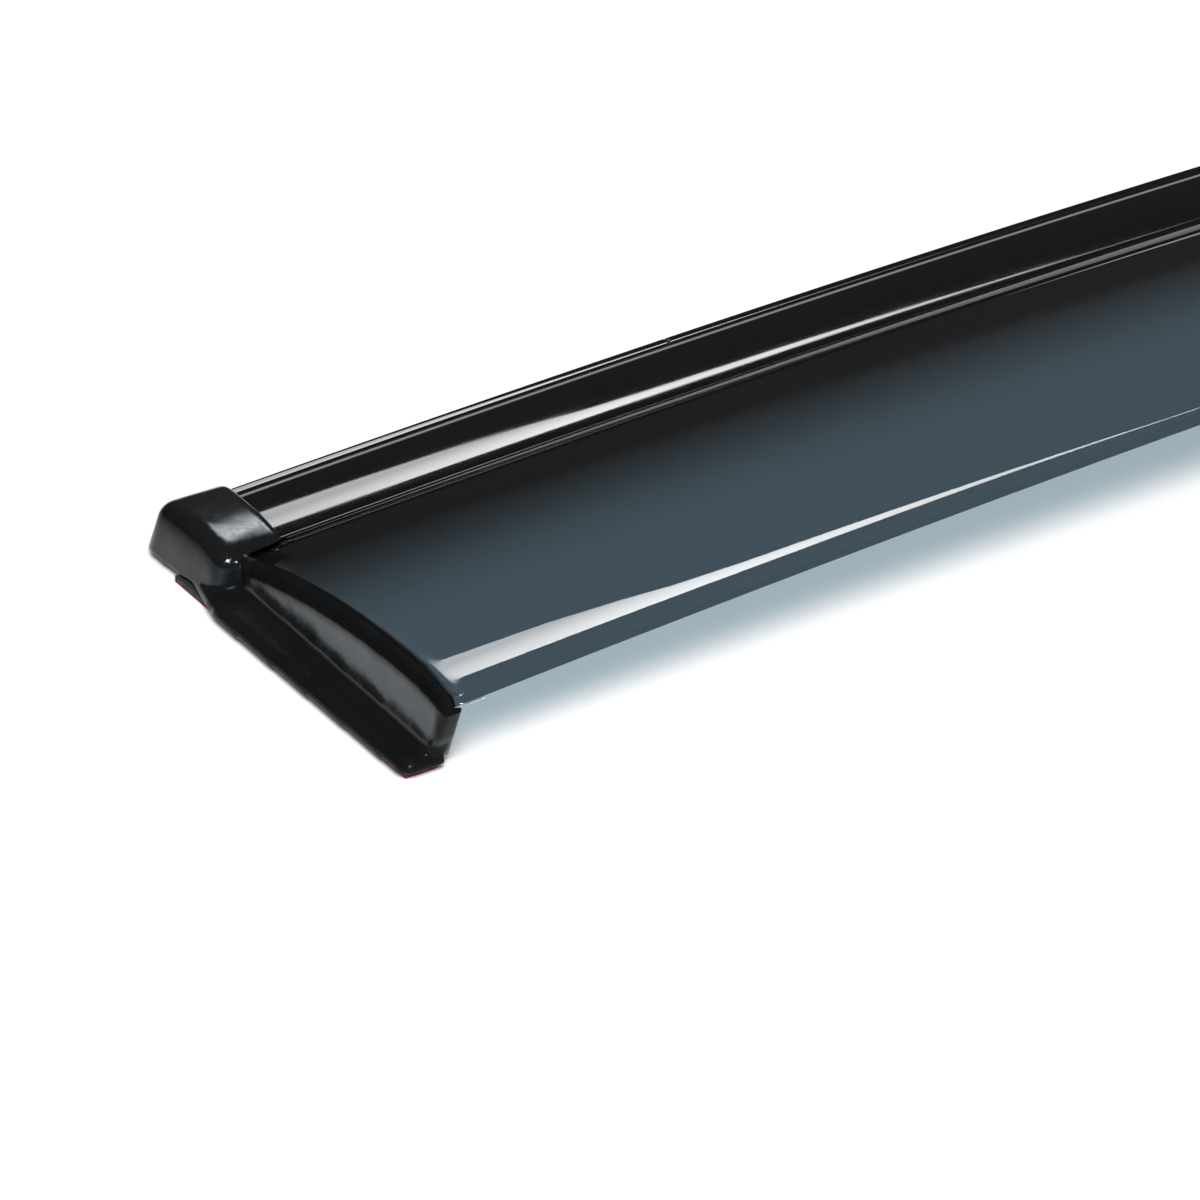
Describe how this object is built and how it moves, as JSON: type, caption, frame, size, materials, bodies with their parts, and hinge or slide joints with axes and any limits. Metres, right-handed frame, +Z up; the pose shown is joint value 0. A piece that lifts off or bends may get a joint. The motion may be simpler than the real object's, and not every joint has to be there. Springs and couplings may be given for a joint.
{
  "type": "window rain deflector",
  "caption": "Long smoked see-through visor with a black top rail and moulded ends, stuck by adhesive feet over a car door's window to keep rain out.",
  "frame": {"origin": "middle of the bounding box, on the surface that the visor lies on", "axes": "+X along the visor, the pictured end at -X; +Y from the front lip back to the top rail; +Z up"},
  "size_m": [0.6002, 0.0963, 0.0219],
  "materials": {
    "black_gloss": "polished black extrusion",
    "smoked_acrylic": "clear, smoke grey, polished",
    "black_moulding": "moulded black, satin gloss",
    "foam_tape": "closed-cell foam",
    "red_film": "thin release film"
  },
  "bodies": {
    "root": {"top_rail": "black_gloss", "smoke_panel": "smoked_acrylic", "left_end_piece": "black_moulding", "right_end_piece": "black_moulding", "left_foot_tape": "foam_tape", "right_foot_tape": "foam_tape", "rail_tape": "foam_tape", "left_foot_liner": "red_film", "right_foot_liner": "red_film", "rail_liner": "red_film"}
  },
  "joints": []
}
